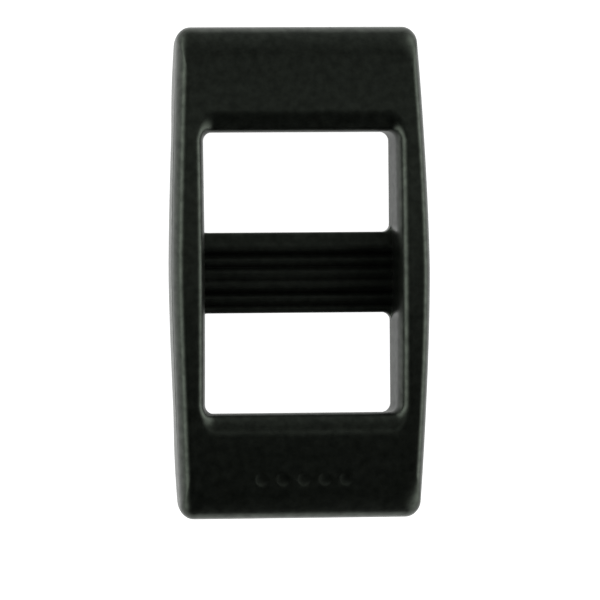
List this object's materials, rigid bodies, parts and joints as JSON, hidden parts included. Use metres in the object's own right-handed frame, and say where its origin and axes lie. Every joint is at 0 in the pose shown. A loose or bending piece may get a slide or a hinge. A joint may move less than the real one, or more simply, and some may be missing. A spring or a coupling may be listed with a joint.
{
  "type": "buckle slider",
  "caption": "Moulded plastic strap slider: a bowed, barrel-sided frame with two windows and a low ribbed cross bar between them for narrow webbing.",
  "frame": {"origin": "on the rest plane, under the middle of the part, with the part lying on its back", "axes": "+Z out of the front face, +Y along the length, the way the webbing runs, +X across the webbing"},
  "size_m": [0.014, 0.0262, 0.003],
  "materials": {
    "black_plastic": "near-black acetal or nylon with a fine satin mould texture and a slightly green-grey sheen"
  },
  "bodies": {
    "root": {"slider_body": "black_plastic"}
  },
  "joints": []
}
